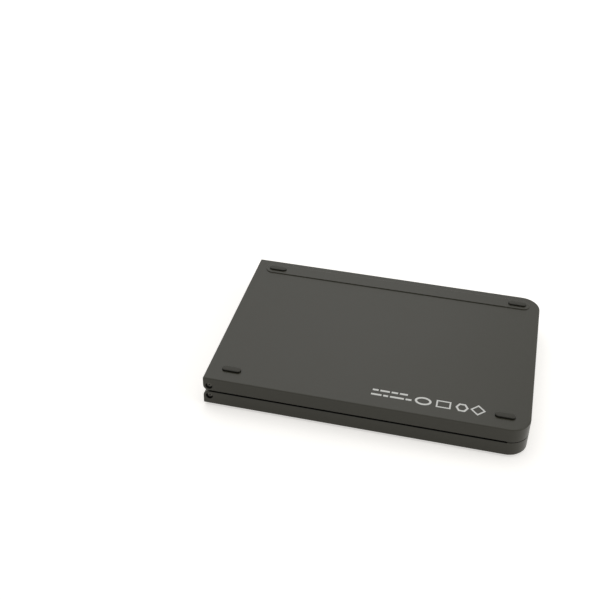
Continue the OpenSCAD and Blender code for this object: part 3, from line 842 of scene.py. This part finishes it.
polyimide, shader, place = finish("polyimide_cable")
strands = place.node(
    "TexWave", {"wave_type": "BANDS", "bands_direction": "Y"}, {"Vector": place, "Scale": 320.0},
)
feed(
    shader,
    base_color=strands.between((0.2, 0.075, 0.012), (0.42, 0.19, 0.05)),
    roughness=0.3 + 0.1 * noise(place, 2),
)
raise_by(shader, strands, 0.02, 0.5)

cable_width = 12
cable_half = 0.075
cable_end = 14.5
bend = 0.6
bend_steps = 6
plate_bottom = 2.9
board_level = 2.2
pin_gap = 2 * knuckle_radius + fold_gap


def cable_line(side):
    """The cable's middle line from its end in one half to the middle of the spine, as (u, w) in mm."""
    level = plate_bottom - cable_half if side == "right" else board_level
    climb = keys_start - bend
    line = [(cable_end, level)]
    for x, z, first, last in (
        (climb, level + bend, 270, 180), (climb - 2 * bend, pin_level - bend, 0, 90),
        (knuckle_radius + bend, pin_level + bend, 270, 180),
    ):
        for i in range(bend_steps + 1):
            turn = math.radians(first + (last - first) * i / bend_steps)
            line.append((x + bend * math.cos(turn), z + bend * math.sin(turn)))
    return [*line, (knuckle_radius, pin_level + pin_gap / 2)]


across = cable_width / 2
for side in ("right", "left"):
    line = cable_line(side)
    strip = bmesh.new()
    rings = []
    for i, (u, w) in enumerate(line):
        before, after = line[max(i - 1, 0)], line[min(i + 1, len(line) - 1)]
        run = Vector((after[0] - before[0], after[1] - before[1])).normalized()
        rise = Vector((-run.y, run.x)) * cable_half
        rings.append([
            (u + s * rise.x, y, w + s * rise.y)
            for s, y in ((1, -across), (1, across), (-1, across), (-1, -across))
        ])
    loft(strip, side, rings, close_start=True, close_end=True)
    bmesh.ops.recalc_face_normals(strip, faces=strip.faces)
    cable = piece_from(strip, side + "_cable", polyimide)
    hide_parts("ribbon_cable")
    start = on_half(side, knuckle_radius + 2, 0, pin_level)
    end = on_half(side, knuckle_radius, 0, pin_level + 0.6)
    if side == "right":
        side + "_half"
        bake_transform(cable)
        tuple(end)
    else:
        side + "_half"
        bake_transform(cable)
        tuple(end)

# ---- Printed marks ----
# Pale ink is pad-printed on the lid's outer face, near its front edge: two rows of plain dashes
# and a row of plain outlines, which say nothing.
dash_height = 1.1
dash_gap = 0.8
row_step = 3
lean = 0.3
line_width = 1
marks = bmesh.new()


def mark(points):
    """One inked shape on the lid, from its corner points in the row frame."""
    verts = [marks.verts.new(Vector((x, y, shut_height - stand + ink_rise)) * mm) for x, y in points]
    marks.faces.new(verts)


def outline(x, y, sides, radius, stretch, turn):
    """An inked ring of straight sides round a point, stretched along the lid."""
    inner = radius - line_width
    for i in range(sides):
        corners = []
        for step, r in ((i, radius), (i + 1, radius), (i + 1, inner), (i, inner)):
            angle = math.radians(turn + 360 * step / sides)
            corners.append((x + (r + stretch) * math.cos(angle), y + r * math.sin(angle)))
        mark(corners)


for row, lengths in enumerate(((2.6, 4.3, 2.9, 3.6), (4.7, 2.2, 6.2, 2.6))):
    x, y = 3 - lean * row, -39.2 - row_step * row
    for length in lengths:
        mark([(x, y), (x + length, y), (x + length, y + dash_height), (x, y + dash_height)])
        x += length + dash_gap
for x, sides, radius, stretch, turn in (
    (25.9, 36, 2.6, 1.1, 0), (34.9, 4, 3.3, 1.3, 45), (43, 6, 2.9, 0, 0), (50, 4, 3.4, 0, 0),
):
    outline(x, -40.9, sides, radius, stretch, turn)

print_ink, shader, place = finish("pad_print_ink")
speckle = noise(place, 0.2)
feed(
    shader,
    base_color=noise(place, 0.4).between((0.62, 0.62, 0.59), (0.74, 0.74, 0.71)),
    roughness=0.5 + 0.1 * speckle,
)
raise_by(shader, speckle, 0.004)
marks_piece = piece_from(marks, "lid_marks", print_ink)
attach(marks_piece, "left_half")

# ---- Floor and light ----
# A pale sheet that turns white for the camera but keeps the keyboard's shadow, one wide soft lamp
# overhead on the left, a weaker one on the right, and an even white surround.
bpy.context.scene.view_settings.view_transform = "Standard"


def seen_rays(tree):
    """1 for rays from the camera, a reflection or a clear piece, and 0 for the rest."""
    kinds = ("Is Camera Ray", "Is Glossy Ray", "Is Transmission Ray")
    seen, mirrored, through = [Tone(tree).node("LightPath", {}, {}, kind) for kind in kinds]
    return seen.maths("MAXIMUM", seen.maths("MAXIMUM", seen, mirrored), through)


sheet = bmesh.new()
bmesh.ops.create_grid(sheet, x_segments=1, y_segments=1, size=3)
paper, shader, place = finish("pale_paper")
away = place.node("VectorMath", {"operation": "LENGTH"}, {0: place}, "Value")
shadow_reach = 0.2
beyond = ((away - shadow_reach) * 1.5).clipped()
feed(
    shader,
    base_color=noise(place, 40).between((0.84, 0.828, 0.806), (0.86, 0.848, 0.826)),
    roughness=0.9,
    specular_ior_level=0.0,
    emission_color=beyond.between((0.53, 0.52, 0.505), (1, 1, 1)),
    emission_strength=seen_rays(paper.node_tree),
)
floor = piece_from(sheet, "floor", paper)

world = bpy.data.worlds.new("surround")
world.use_nodes = True
bpy.context.scene.world = world
background = next(n for n in world.node_tree.nodes if n.type == "BACKGROUND")
background.inputs["Color"].default_value = (1, 1, 1, 1)
seen = seen_rays(world.node_tree)
world.node_tree.links.new((0.4 + 0.6 * seen).socket, background.inputs["Strength"])

for name, size, energy, place in (
    ("overhead_lamp", 1.0, 2.85, (-0.2, 0.3, 0.8)), ("side_lamp", 0.6, 1.8, (0.8, -0.08, 0.4)),
):
    lamp = bpy.data.objects.new(name, bpy.data.lights.new(name, "AREA"))
    bpy.context.scene.collection.objects.link(lamp)
    lamp.data.shape = "SQUARE"
    lamp.data.size = size
    lamp.data.energy = energy
    lamp.location = place
    lamp.rotation_euler = (-lamp.location).to_track_quat("-Z", "Y").to_euler()
